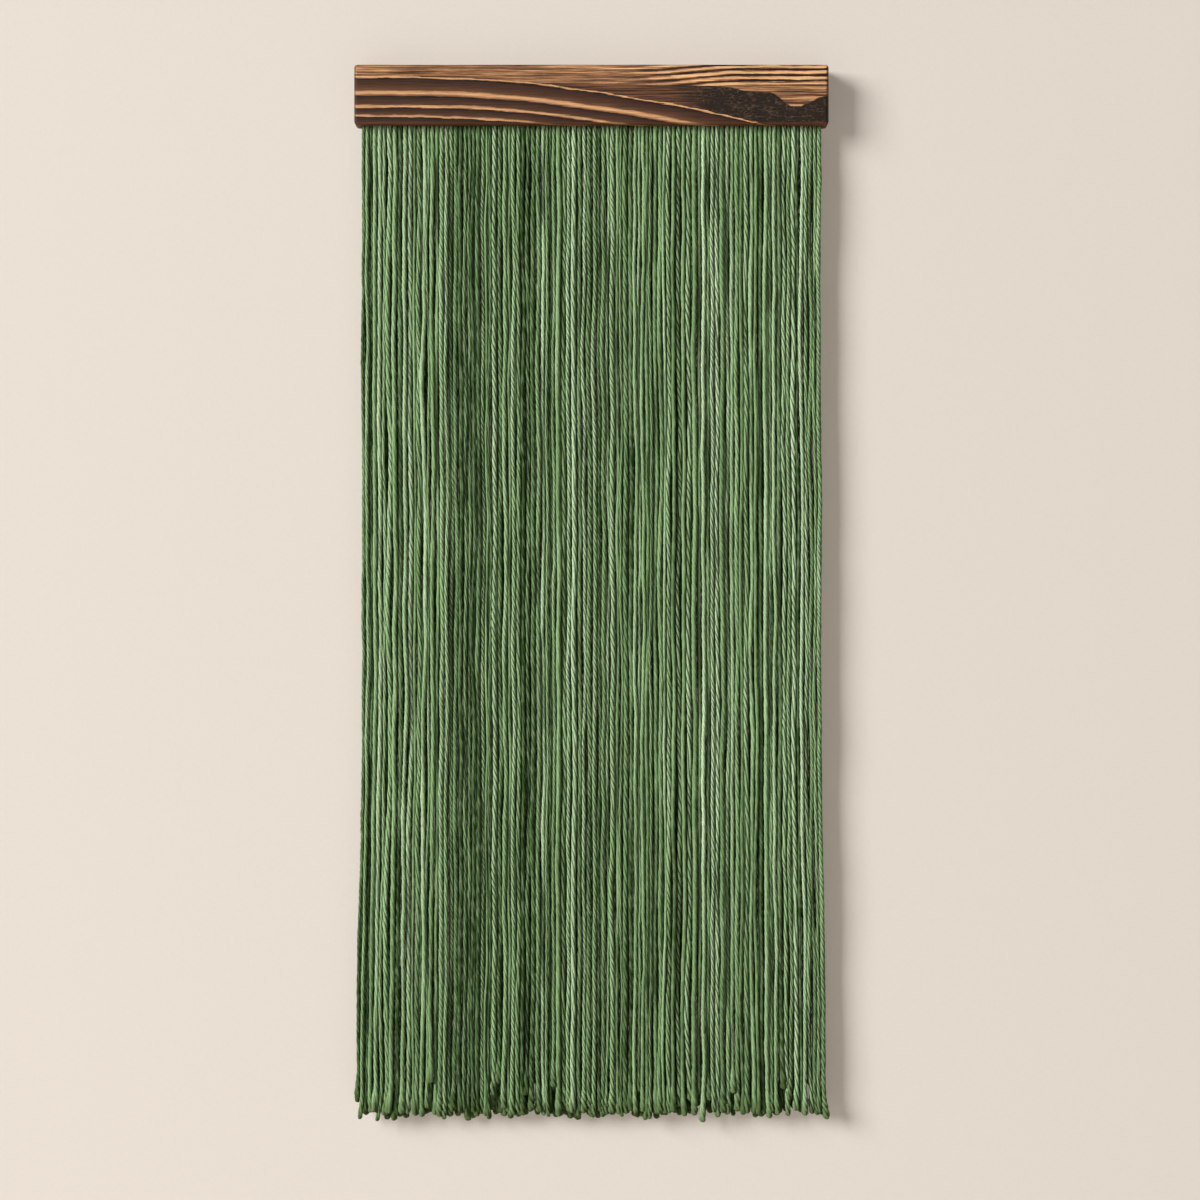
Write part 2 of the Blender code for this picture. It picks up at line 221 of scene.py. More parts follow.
class Shader:
    """A material's node tree, with short calls for the nodes that this file uses."""

    def __init__(self, name):
        self.material = bpy.data.materials.new(name)
        self.material.use_nodes = True
        self.tree = self.material.node_tree
        self.surface = self.tree.nodes["Principled BSDF"]
        self.place = self.tree.nodes.new("ShaderNodeTexCoord").outputs["Object"]

    def node(self, kind, **settings):
        made = self.tree.nodes.new("ShaderNode" + kind)
        for key, value in settings.items():
            setattr(made, key, value)
        return made

    def put(self, socket, value):
        if isinstance(value, bpy.types.NodeSocket):
            self.tree.links.new(value, socket)
        elif isinstance(value, tuple) and len(value) == 3 and socket.type == "RGBA":
            socket.default_value = (*value, 1.0)
        else:
            socket.default_value = value

    def math(self, operation, a, b=0.0):
        made = self.node("Math", operation=operation)
        self.put(made.inputs[0], a)
        self.put(made.inputs[1], b)
        return made.outputs[0]

    def smooth(self, value, low, high):
        """0 below low, 1 above high, and an S curve between; low may be above high."""
        made = self.node("MapRange", interpolation_type="SMOOTHSTEP")
        self.put(made.inputs["Value"], value)
        if low < high:
            made.inputs["From Min"].default_value = low
            made.inputs["From Max"].default_value = high
            return made.outputs[0]
        made.inputs["From Min"].default_value = high
        made.inputs["From Max"].default_value = low
        return self.math("SUBTRACT", 1.0, made.outputs[0])

    def axes(self):
        made = self.node("SeparateXYZ")
        self.put(made.inputs[0], self.place)
        return made.outputs

    def vector(self, x, y, z):
        made = self.node("CombineXYZ")
        for socket, value in zip(made.inputs, (x, y, z)):
            self.put(socket, value)
        return made.outputs[0]

    def scaled(self, vector, scale):
        made = self.node("Mapping")
        self.put(made.inputs["Vector"], vector)
        made.inputs["Scale"].default_value = scale
        return made.outputs[0]

    def noise(self, vector, scale, detail=2.0, rough=0.5, distort=0.0):
        made = self.node("TexNoise")
        self.put(made.inputs["Vector"], vector)
        made.inputs["Scale"].default_value = scale
        made.inputs["Detail"].default_value = detail
        made.inputs["Roughness"].default_value = rough
        made.inputs["Distortion"].default_value = distort
        return made.outputs[0]

    def cracks(self, vector):
        """Distance from the edges of random cells about one unit wide."""
        made = self.node("TexVoronoi", feature="DISTANCE_TO_EDGE")
        self.put(made.inputs["Vector"], vector)
        made.inputs["Scale"].default_value = 1.0
        return made.outputs["Distance"]

    def ramp(self, value, stops):
        made = self.node("ValToRGB")
        elements = made.color_ramp.elements
        while len(elements) < len(stops):
            elements.new(1.0)
        for element, (at, color) in zip(elements, stops):
            element.position = at
            element.color = (*color, 1.0)
        self.put(made.inputs[0], value)
        return made.outputs[0]

    def mix(self, factor, a, b, how="MIX"):
        made = self.node("Mix", data_type="RGBA", blend_type=how)
        self.put(made.inputs["Factor"], factor)
        self.put(made.inputs["A"], a)
        self.put(made.inputs["B"], b)
        return made.outputs["Result"]

    def attribute(self, name, output="Fac"):
        return self.node("Attribute", attribute_name=name).outputs[output]

    def bump(self, height, distance, strength):
        made = self.node("Bump")
        made.inputs["Distance"].default_value = distance
        made.inputs["Strength"].default_value = strength
        self.put(made.inputs["Height"], height)
        self.put(self.surface.inputs["Normal"], made.outputs[0])

    def finish(self, color, roughness, **plain):
        self.put(self.surface.inputs["Base Color"], color)
        self.put(self.surface.inputs["Roughness"], roughness)
        for key, value in plain.items():
            self.put(self.surface.inputs[key.replace("_", " ")], value)
        return self.material


def srgb(red, green, blue):
    """A colour given as 0 to 255 values, made linear by the sRGB curve."""
    return tuple(((c / 255 + 0.055) / 1.055) ** 2.4 if c > 10 else c / 3295 for c in (red, green, blue))


# ---------------------------------------------------------------- materials


def green_cord():
    """Cotton cord: each has its own tone, the rear row's lower tone is painted shade, the plies' valleys hold
    painted shade, and cut ends are browner.
    """
    s = Shader("green_cord")
    rope = s.attribute("rope", "Vector")
    tone = s.attribute("tone")
    crown = s.attribute("crown")
    tip = s.attribute("tip")
    fibres = s.noise(s.scaled(rope, (2600, 2600, 420)), 1.0, 3.0, 0.65)
    slubs = s.noise(s.scaled(rope, (300, 300, 150)), 1.0, 2.0)
    stops = [(0.0, srgb(40, 66, 26)), (0.5, srgb(126, 157, 108)), (1.0, srgb(184, 208, 170))]
    base = s.ramp(tone, stops)
    uneven = s.mix(s.smooth(slubs, 0.35, 0.7), base, srgb(150, 176, 130))
    toned = s.mix(0.35, base, uneven)
    # Painted shade: the plies' valleys are darkened towards near black
    painted_valley_shade = s.mix(s.smooth(crown, 0.0, 0.8), srgb(8, 20, 4), toned)
    streaked = s.mix(s.math("MULTIPLY", s.smooth(fibres, 0.6, 0.36), 0.4), painted_valley_shade, srgb(34, 54, 22))
    ended = s.mix(s.math("MULTIPLY", tip, 0.72), streaked, srgb(66, 80, 42))
    s.bump(fibres, 0.00035, 0.9)
    return s.finish(ended, 0.9, Sheen_Weight=0.03, Sheen_Roughness=0.5, Specular_IOR_Level=0.06)


# Growth layers
GRAIN_STOPS = (  # depth across the layers in mm, and the sRGB colour there
    (7.5, (128, 86, 58)),
    (7.9, (224, 172, 122)),
    (8.6, (190, 138, 94)),
    (8.9, (26, 17, 13)),
    (10.4, (58, 36, 26)),
    (14.2, (78, 50, 35)),
    (16.6, (104, 69, 47)),
    (17.1, (190, 140, 97)),
    (18.3, (218, 168, 120)),
    (19.4, (160, 110, 74)),
    (20.0, (120, 80, 54)),
    (20.2, (30, 20, 16)),
    (22.0, (60, 38, 28)),
    (25.6, (84, 55, 38)),
    (26.2, (194, 144, 100)),
    (27.0, (212, 162, 115)),
    (27.5, (140, 95, 64)),
    (27.8, (32, 22, 17)),
    (29.4, (62, 40, 29)),
    (31.8, (84, 55, 38)),
    (32.3, (190, 140, 98)),
    (33.1, (202, 152, 108)),
    (33.4, (36, 25, 19)),
    (36.6, (70, 46, 33)),
)
GRAIN_DEPTH = 40.0
GRAIN_TILT = 420.0  # mm down, for each metre that the layers go into the bar
STRIPE_MM = 3.4  # from one tan stripe to the next
PINE_LAYER = 0.0035  # from one growth layer of the strip to the next


def charred_pine():
    """Scorched and brushed pine: pale and charred growth layers that slant down to the right."""
    s = Shader("charred_pine")
    low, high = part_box("bar")
    x, y, z = s.axes()
    x_mm = s.math("MULTIPLY", x, 1000.0)
    into = s.math("MULTIPLY", s.math("SUBTRACT", y, low[1]), GRAIN_TILT)
    down = s.math("MULTIPLY", s.math("SUBTRACT", high[2], z), 1000.0)
    wander = s.noise(s.scaled(s.place, (16, 40, 70)), 1.0, 3.0, 0.55)
    wobble = s.math("MULTIPLY", s.math("SUBTRACT", wander, 0.5), 3.4)
    ragged = s.noise(s.scaled(s.place, (90, 500, 1100)), 1.0, 4.0, 0.7)
    fray = s.math("MULTIPLY", s.math("SUBTRACT", ragged, 0.5), 2.4)
    depth = s.math("ADD", s.math("ADD", down, into), s.math("ADD", wobble, fray))

    # Lower layers, which slant down from 110 mm left of the middle
    along = s.math("MAXIMUM", s.math("DIVIDE", s.math("ADD", x_mm, 110.0), 110.0), 0.0)
    slant = s.math("MULTIPLY", s.math("POWER", along, 1.8), 8.7)
    layer = s.math("SUBTRACT", depth, slant)
    stops = [(mm / GRAIN_DEPTH, srgb(*color)) for mm, color in GRAIN_STOPS]
    lower = s.ramp(s.math("DIVIDE", layer, GRAIN_DEPTH), stops)

    # Upper layers: fine tan stripes, which stand out more to the right
    streaks = s.noise(s.scaled(s.place, (24, 800, 1500)), 1.0, 5.0, 0.72)
    climb = s.math("MULTIPLY", s.smooth(x_mm, 0.0, 110.0), 5.5)
    stripe_turn = s.math("MULTIPLY", s.math("ADD", depth, climb), TURN / STRIPE_MM)
    stripe = s.math("MULTIPLY", s.math("SINE", s.math("ADD", stripe_turn, 0.5)), 0.5)
    calm = s.math("SUBTRACT", 1.0, s.math("MULTIPLY", s.smooth(depth, 10.5, 15.0), 0.75))
    contrast = s.math("MULTIPLY", s.math("MULTIPLY", s.smooth(x_mm, -10.0, 70.0), 1.3), calm)
    fine = s.math("MULTIPLY", s.math("SUBTRACT", streaks, 0.5), 2.8)
    light = s.math("ADD", s.math("ADD", s.math("MULTIPLY", stripe, contrast), 0.5), fine)
    tans = [(0.0, (36, 24, 18)), (0.3, (96, 64, 44)), (0.55, (150, 105, 72)), (1.0, (226, 174, 124))]
    upper = s.ramp(light, [(at, srgb(*color)) for at, color in tans])

    # Between them a wedge, brown on the left and cracked char on the right, below an edge in mm from the top
    mottle = s.noise(s.scaled(s.place, (160, 160, 420)), 1.0, 3.0, 0.7)
    bent = s.vector(s.math("ADD", x, s.math("MULTIPLY", mottle, 0.006)), y, z)
    crack = s.cracks(s.scaled(bent, (260, 260, 520)))
    ridge = s.math("MULTIPLY", s.smooth(crack, 0.10, 0.02), s.smooth(mottle, 0.42, 0.58))
    burnt = s.mix(s.smooth(mottle, 0.56, 0.8), srgb(38, 28, 21), srgb(84, 64, 48))
    burnt = s.mix(s.math("MULTIPLY", ridge, 0.5), burnt, srgb(112, 88, 68))
    brown = s.mix(s.smooth(streaks, 0.38, 0.66), srgb(52, 33, 24), srgb(118, 79, 53))
    wedge = s.mix(s.smooth(x_mm, 48.0, 78.0), brown, burnt)
    edge = s.math("ADD", s.math("MULTIPLY", s.smooth(x_mm, 0.0, 150.0), 3.0), 12.2)
    edge = s.math("ADD", edge, s.math("MULTIPLY", s.smooth(x_mm, 84.0, 104.0), 3.0))
    edge = s.math("ADD", edge, s.math("MULTIPLY", s.smooth(x_mm, 112.0, 127.0), 8.0))
    edge = s.math("SUBTRACT", edge, s.math("MULTIPLY", s.smooth(x_mm, 130.0, 150.0), 6.0))
    face = s.mix(s.smooth(s.math("SUBTRACT", depth, edge), -0.2, 0.3), upper, wedge)
    color = s.mix(s.smooth(layer, 7.7, 8.0), face, lower)

    # Worn lower rim, darker ends, and fibres over everything
    rim = s.math("MULTIPLY", s.smooth(down, 36.4, 37.2), 0.6)
    color = s.mix(rim, color, srgb(110, 62, 34))
    ends = s.math("MULTIPLY", s.smooth(s.math("ABSOLUTE", x_mm), 148.2, 149.2), 0.65)
    color = s.mix(ends, color, srgb(58, 42, 33))
    fibre = s.noise(s.scaled(s.place, (70, 2600, 4200)), 1.0, 2.0)
    shade = s.math("ADD", s.math("MULTIPLY", streaks, 1.7), s.math("MULTIPLY", fibre, 0.9))
    shade = s.math("SUBTRACT", shade, 0.42)
    color = s.mix(1.0, color, s.vector(shade, shade, shade), "MULTIPLY")
    relief = s.math("ADD", s.math("MULTIPLY", streaks, 0.75), s.math("MULTIPLY", fibre, 0.3))
    s.bump(relief, 0.0006, 0.9)
    rough = s.math("ADD", s.math("MULTIPLY", streaks, 0.3), 0.42)
    return s.finish(color, rough, Specular_IOR_Level=0.14)


def raw_pine():
    """Planed, unstained pine with grain along the strip."""
    s = Shader("raw_pine")
    wander = s.noise(s.scaled(s.place, (14, 90, 90)), 1.0, 3.0)
    z = s.axes()[2]
    turn = s.math("ADD", s.math("MULTIPLY", z, TURN / PINE_LAYER), s.math("MULTIPLY", wander, 9.0))
    layers = s.math("ADD", s.math("MULTIPLY", s.math("SINE", turn), 0.5), 0.5)
    streaks = s.noise(s.scaled(s.place, (30, 900, 1800)), 1.0, 3.0, 0.6)
    color = s.mix(s.math("POWER", layers, 2.5), srgb(222, 190, 143), srgb(190, 146, 96))
    color = s.mix(s.math("MULTIPLY", s.smooth(streaks, 0.5, 0.75), 0.45), color, srgb(170, 124, 78))
    s.bump(streaks, 0.0003, 0.7)
    rough = s.math("ADD", s.math("MULTIPLY", streaks, 0.25), 0.5)
    return s.finish(color, rough, Specular_IOR_Level=0.3)


def metal(name, bright, dull, rough, grain):
    """Small plated hardware: dull patches in the plating, and fine scratches."""
    s = Shader(name)
    clouds = s.noise(s.place, 420.0, 3.0)
    scratches = s.noise(s.scaled(s.place, grain), 1.0, 2.0)
    color = s.mix(s.smooth(clouds, 0.35, 0.72), bright, dull)
    varied = s.math("ADD", s.math("MULTIPLY", clouds, 0.22), rough)
    s.bump(scratches, 0.00006, 0.6)
    return s.finish(color, varied, Metallic=1.0)


def woven_tape():
    """Narrow plain-woven cotton tape, dyed darker than the cords."""
    s = Shader("cotton_tape")
    x, _, z = s.axes()
    warp = s.math("SINE", s.math("MULTIPLY", z, TURN / TAPE_YARN))
    weft = s.math("SINE", s.math("MULTIPLY", x, TURN / TAPE_YARN))
    weave = s.math("ADD", s.math("MULTIPLY", s.math("MULTIPLY", warp, weft), 0.5), 0.5)
    fuzz = s.noise(s.place, 2600.0, 3.0)
    color = s.mix(weave, srgb(48, 66, 38), srgb(88, 110, 72))
    color = s.mix(s.math("MULTIPLY", fuzz, 0.4), color, srgb(110, 130, 92))
    s.bump(weave, 0.00015, 0.8)
    return s.finish(color, 0.92, Sheen_Weight=0.15, Specular_IOR_Level=0.15)


def grey_felt():
    """Pressed wool felt: matted fibres in light and dark grey."""
    s = Shader("grey_felt")
    matted = s.noise(s.place, 1500.0, 4.0, 0.7, 1.5)
    flecks = s.noise(s.place, 3800.0, 2.0)
    color = s.mix(s.smooth(matted, 0.3, 0.7), srgb(70, 69, 66), srgb(122, 120, 115))
    color = s.mix(s.math("MULTIPLY", s.smooth(flecks, 0.6, 0.75), 0.6), color, srgb(168, 165, 158))
    s.bump(matted, 0.0004, 0.9)
    return s.finish(color, 0.97, Sheen_Weight=0.3, Specular_IOR_Level=0.1)


# ---------------------------------------------------------------- meshes


def new_mesh(name, points, quads, caps=(), attributes=(), corners_uv=None):
    """A mesh from arrays: quads is (n, 4), and each cap is a ring of points, closed by a single face."""
    mesh = bpy.data.meshes.new(name)
    loops = np.concatenate([quads.ravel(), *[np.array(c) for c in caps]]).astype(np.int32)
    counts = np.concatenate([np.full(len(quads), 4), [len(c) for c in caps]]).astype(np.int32)
    starts = np.concatenate([[0], np.cumsum(counts)[:-1]]).astype(np.int32)
    mesh.vertices.add(len(points))
    mesh.vertices.foreach_set("co", points.astype(np.float32).ravel())
    mesh.loops.add(len(loops))
    mesh.loops.foreach_set("vertex_index", loops)
    mesh.polygons.add(len(counts))
    mesh.polygons.foreach_set("loop_start", starts)
    if corners_uv is not None:
        layer = mesh.uv_layers.new(name="OFBake")
        layer.uv.foreach_set("vector", corners_uv.astype(np.float32).ravel())
    mesh.update(calc_edges=True)
    mesh.shade_smooth()
    for key, kind, values in attributes:
        layer = mesh.attributes.new(key, kind, "POINT")
        field = "vector" if kind == "FLOAT_VECTOR" else "value"
        layer.data.foreach_set(field, values.astype(np.float32).ravel())
    return mesh


def shown(name, mesh, material):
    piece = bpy.data.objects.new(name, mesh)
    bpy.context.scene.collection.objects.link(piece)
    mesh.materials.append(material)
    return piece


# ---------------------------------------------------------------- cords


def waves(count, shortest, longest, size):
    """Random sine waves, in rows: radians per metre, phase, lean between neighbours, and amplitude."""
    lengths = np.exp(rng.uniform(np.log(shortest), np.log(longest), count))
    amplitudes = size * (lengths / longest) ** 0.7 * rng.uniform(0.5, 1.0, count)
    phases = rng.uniform(0, TURN, count)
    leans = rng.uniform(-1, 1, count)
    return np.stack([TURN / lengths, phases, leans, amplitudes], 1)


def drift(table, down, across=0.0):
    """The waves' sum, at distances down the cord; across is the cord's place in the row."""
    turns = np.outer(down, table[:, 0]) + table[:, 1] + table[:, 2] * across
    return (np.sin(turns) * table[:, 3]).sum(1)


ROW_SIDEWAYS = waves(*ROW_SIDEWAYS_WAVES)
ROW_FORWARD = waves(*ROW_FORWARD_WAVES)


def rise(value, low, high):
    """0 below low, 1 above high, and an S curve between."""
    t = np.clip((value - low) / (high - low), 0, 1)
    return t * t * (3 - 2 * t)


def cord_widths(row, count, width):
    """Random widths that fill the row, and each cord's middle."""
    each = 1 + WIDTH_SPREAD[row] * np.clip(rng.normal(size=count), -WIDTH_CLIP, WIDTH_CLIP)
    each *= width / each.sum()
    return each, np.cumsum(each) - each / 2


def random_drop():
    """How far a cord hangs below the bar: most alike, some shorter, a few longer."""
    drop = COMMON_DROP + rng.normal() * LENGTH_SPREAD
    chance = rng.uniform()
    if chance < SHORT_SHARE:
        drop -= rng.uniform(*SHORT_RANGE) * SHORT_MOST
    elif chance > 1 - LONG_SHARE:
        drop += rng.uniform(*LONG_RANGE) * LONG_MOST
    return drop


class Cord:
    """One hanging cord: its centreline, radii, and mesh arrays."""

    def __init__(self, row, x, y, width, diameter):
        top = UNDERSIDE + HEAD_HIDDEN
        bottom = max(UNDERSIDE - random_drop(), cad_box[0][2])
        last = np.array(END_RINGS_MM) * MM
        steps = int(round((top - bottom - last[0]) / RING_STEP))
        z = np.concatenate([np.linspace(top, bottom + last[0], steps + 1), bottom + last[1:]])
        below = np.maximum(UNDERSIDE - z, 0)
        above_end = z - bottom
        tip = np.clip(1 - above_end / TIP_LENGTH, 0, 1)

        own_x = sum(drift(waves(*each), below) for each in OWN_SIDEWAYS_WAVES)
        own_y = sum(drift(waves(*each), below) for each in OWN_FORWARD_WAVES)
        shared = SHARED_ACROSS * x
        depth = DEPTH_SCATTER * np.clip(rng.normal(), -DEPTH_CLIP, DEPTH_CLIP)
        splay = rng.normal(size=2) * TIP_SPLAY
        free = rise(below, 0, LEAN_LENGTH)
        outwards = SPREAD_MOST * (x / HALF_ROW) ** 3 * rise(below, SPREAD_START, COMMON_DROP)
        line_x = x + outwards + free * (drift(ROW_SIDEWAYS, below, shared) + LOOSENESS[row] * own_x)
        line_x += (splay[0] + EDGE_SPLAY * (x / HALF_ROW) ** 5) * tip**2
        line_y = y + free * (depth + drift(ROW_FORWARD, below, shared) + own_y) - abs(splay[1]) * tip**2

        radius = np.full(len(z), FILL[row] * min(width, diameter * ROOM_MOST) / 2)
        radius *= 1 + drift(waves(*THICKNESS_WAVES), below)
        radius *= 1 + rng.uniform(*TIP_FLARE_RANGE) * rise(tip, *TIP_FLARE_STRETCH)
        radius = np.minimum(radius, WIDEST)
        self.diameter = 2 * float(radius[above_end > TIP_LENGTH].mean()) * float(np.mean(PLY_PROFILE))
        end = np.clip(above_end / (radius * END_ROUNDING), 0, 1)
        radius *= np.sqrt(np.clip(1 - (1 - end) ** 2 * END_CLOSING, 0, 1))

        # A cord that would reach the wall as its lock swings back leans forward, just enough to clear it
        past_wall = line_y + LUMPS_ROOM * radius + SWING_BACK * below + WALL_ROOM
        forward = max(0.0, float((past_wall / np.maximum(below, LEAN_LENGTH)).max()))
        self.line = np.stack([line_x, line_y - forward * below, z], 1)
        self.mesh_arrays(row, radius, tip, below)

    def nubs(self, below, around):
        """Small lumps of the yarn, mostly under a tenth of the radius."""
        total = 0
        for lobe in NUB_LOBES:
            length = rng.uniform(*NUB_LENGTHS)
            phase = TURN * below[:, None] / length + lobe * around[None, :] + rng.uniform(0, TURN)
            total = total + NUB_SIZE * rng.uniform(*NUB_RANGE) * np.sin(phase)
        return total

    def mesh_arrays(self, row, radius, tip, below):
        """Points and attributes, as arrays of rings by sides."""
        rings = len(radius)
        around = np.arange(SIDES) / SIDES * TURN
        unevenness = drift(waves(*TWIST_WAVES), below)
        twist = -TURN * self.line[:, 2] / rng.uniform(*LAY_RANGE) + rng.uniform(0, TURN) + unevenness
        open_up = 1 + TIP_OPENING * rise(tip, *TIP_OPENING_STRETCH)
        ply_depth = rng.uniform(*PLY_DEPTH_RANGE)
        profile = 1 - (1 - np.tile(PLY_PROFILE, PLIES)) * ply_depth
        lobes = 1 - (1 - profile)[None, :] * open_up[:, None]
        angle = around[None, :] + twist[:, None]
        reach = radius[:, None] * lobes * (1 + self.nubs(below, around))
        self.points = np.empty((rings, SIDES, 3))
        self.points[..., 0] = self.line[:, 0, None] + reach * np.cos(angle)
        self.points[..., 1] = self.line[:, 1, None] + reach * np.sin(angle)
        self.points[..., 2] = self.line[:, 2, None]
        crown = 1 - (1 - profile) / (1 - min(PLY_PROFILE))
        self.crown = np.broadcast_to(crown, (rings, SIDES))
        fade = drift(waves(*TONE_WAVES), below) - LOW_SHADE * rise(below, SPREAD_START, COMMON_DROP)
        # Painted shade: the rear row takes a lower tone from TONE, for the shade behind the front row
        tone = np.clip(TONE[row] + TONE_SPREAD * rng.normal() + fade, 0, 1)
        self.tone = np.broadcast_to(tone[:, None], (rings, SIDES))
        self.tip = np.broadcast_to(rise(tip, *TIP_BROWN_STRETCH)[:, None], (rings, SIDES))
        self.rope = np.empty((rings, SIDES, 3))
        self.rope[..., 0] = self.diameter / 2 * np.cos(around) + rng.uniform(0, NOISE_SHIFT)
        self.rope[..., 1] = self.diameter / 2 * np.sin(around)
        self.rope[..., 2] = below[:, None]


def cords_mesh(name, cords):
    """One mesh of several cords, with a map for baking on which each cord has columns of its own."""
    stretches = COLUMNS["joined" if len(cords) > 1 else "alone"]
    columns = stretches * len(cords)
    inside = 1 - 2 * COLUMN_MARGIN
    points, quads, caps, uvs, cap_uvs = [], [], [], [], []
    base = 0
    for i, cord in enumerate(cords):
        rings = len(cord.points)
        ring = np.arange(rings - 1)[:, None]
        side = np.arange(SIDES)[None, :]
        a = base + ring * SIDES + side
        b = base + ring * SIDES + (side + 1) % SIDES
        quads.append(np.stack([a, a + SIDES, b + SIDES, b], -1).reshape(-1, 4))
        per_column = math.ceil((rings - 1) / stretches)
        column = i * stretches + ring // per_column
        left = (column + COLUMN_MARGIN + inside * side / SIDES) / columns
        right = (column + COLUMN_MARGIN + inside * (side + 1) / SIDES) / columns
        place = np.broadcast_to(ring % per_column, a.shape)
        low = MAP_LOW + MAP_HEIGHT * place / per_column
        high = MAP_LOW + MAP_HEIGHT * (place + 1) / per_column
        corners = [(left, low), (left, high), (right, high), (right, low)]
        uvs.append(np.stack([np.stack(c, -1) for c in corners], -2).reshape(-1, 2))
        last = base + (rings - 1) * SIDES
        caps += [range(base, base + SIDES), range(last + SIDES - 1, last - 1, -1)]
        spread = np.linspace(COLUMN_MARGIN, 1 - COLUMN_MARGIN, SIDES)
        for at in CAP_PLACES:
            strip = at + CAP_HEIGHT * np.sin(spread * TURN)
            cap_uvs.append(np.stack([(i * stretches + spread) / columns, strip], -1))
        points.append(cord.points.reshape(-1, 3))
        base += rings * SIDES

    def gathered(key, width=1):
        return np.concatenate([getattr(c, key).reshape(-1, width) for c in cords])

    attributes = [(key, "FLOAT", gathered(key)) for key in ("tone", "crown", "tip")]
    attributes.append(("rope", "FLOAT_VECTOR", gathered("rope", 3)))
    corners_uv = np.concatenate(uvs + cap_uvs)
    return new_mesh(name, np.concatenate(points), np.concatenate(quads), caps, attributes, corners_uv)


def row_of_cords(row, low, high):
    """The cords of one lock's row, side by side in the box of its CAD slab."""
    diameter = high[1] - low[1]
    middle_y = (low[1] + high[1]) / 2
    count = round((high[0] - low[0]) / diameter)
    widths, middles = cord_widths(row, count, high[0] - low[0] + JOIN_GAP)
    made = []
    for width, middle in zip(widths, middles):
        y = middle_y + rng.uniform(-PLACE_SCATTER, PLACE_SCATTER)
        made.append(Cord(row, low[0] - JOIN_GAP / 2 + middle, y, width, diameter))
    return made


def make_fringe(material):
    """Every lock's two rows: a few cords, each a piece of its own, and the rest in one piece."""
    for lock in LOCKS:
        for row in ROWS:
            node = f"{lock}_{row}"
            made = row_of_cords(row, *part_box(node))
            rest = [c for i, c in enumerate(made) if i not in DECLARED_IN_ROW]
            pieces = [(f"{node}_cords", rest)]
            pieces += [(f"{node}_cord_{i + 1}", [made[i]]) for i in DECLARED_IN_ROW]
            for name, cords in pieces:
                piece = shown(name, cords_mesh(name, cords), material)
                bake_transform(piece)
                if len(cords) > 1:
                    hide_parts(node, f"{row}_cord_heads")
                else:
                    declare_cord(cords[0])


def declare_cord(cord):
    """Gathers every few rings of a cord's middle, and its last ring, into a path, which goes no further."""
    path = cord.line[::PATH_STEP]
    if (len(cord.line) - 1) % PATH_STEP:
        path = np.concatenate([path, cord.line[-1:]])


# ---------------------------------------------------------------- tape, bumpers and hardware


def make_tape(material):
    """The heading tape as a thin band of cloth, its faces rippled a little by the cord heads."""
    low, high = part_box("heading_tape")
    across = max(2, round((high[0] - low[0]) / TAPE_CELL)) + 1
    up = max(2, round((high[2] - low[2]) / TAPE_CELL)) + 1
    x, z = np.meshgrid(np.linspace(low[0], high[0], across), np.linspace(low[2], high[2], up))
    thick = high[1] - low[1]
    heads_low, heads_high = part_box("front_cord_heads")
    pitch = heads_high[1] - heads_low[1]
    ripple = TAPE_RIPPLE * thick * (1 + np.cos(x * TURN / pitch)) / 2
    front = np.stack([x, low[1] + ripple, z], -1).reshape(-1, 3)
    back = np.stack([x, high[1] - ripple, z], -1).reshape(-1, 3)
    index = np.arange(across * up).reshape(up, across)
    a, b, c, d = index[:-1, :-1], index[:-1, 1:], index[1:, 1:], index[1:, :-1]
    faces = [np.stack([a, b, c, d], -1).reshape(-1, 4)]
    faces.append(np.stack([d, c, b, a], -1).reshape(-1, 4) + across * up)
    border = np.concatenate([index[0, :-1], index[:-1, -1], index[-1, :0:-1], index[:0:-1, 0]])
    after = np.roll(border, -1)
    faces.append(np.stack([after, border, border + across * up, after + across * up], -1))
    mesh = new_mesh("heading_band", np.concatenate([front, back]), np.concatenate(faces))
    piece = shown("heading_band", mesh, material)
    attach(piece, "bar")
    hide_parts("heading_tape")


def make_felt(node, seed, material):
    """A felt disc with rounded edges and an uneven rim."""
    low, high = (np.array(corner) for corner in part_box(node))
    fuzz = np.random.default_rng(seed)
    radius = (high[0] - low[0]) / 2
    depth = high[1] - low[1]
    middle = (low + high) / 2
    around = np.arange(FELT_SIDES) / FELT_SIDES * TURN
    points, rings = [], []
    for share, along in FELT_PROFILE:
        rim = 1 - FELT_FUZZ * fuzz.uniform(0, 1, FELT_SIDES) * share
        ring = np.empty((FELT_SIDES, 3))
        ring[:, 0] = middle[0] + radius * share * rim * np.cos(around)
        ring[:, 1] = low[1] + depth * along
        ring[:, 2] = middle[2] + radius * share * rim * np.sin(around)
        rings.append(len(points) * FELT_SIDES + np.arange(FELT_SIDES))
        points.append(ring)
    quads = []
    for first, second in zip(rings, rings[1:]):
        quads.append(np.stack([first, second, np.roll(second, -1), np.roll(first, -1)], -1))
    caps = [rings[0], rings[-1][::-1]]
    mesh = new_mesh(node + "_felt", np.concatenate(points), np.concatenate(quads), caps)
    piece = shown(node + "_felt", mesh, material)
    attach(piece, "bar")
    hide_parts(node)


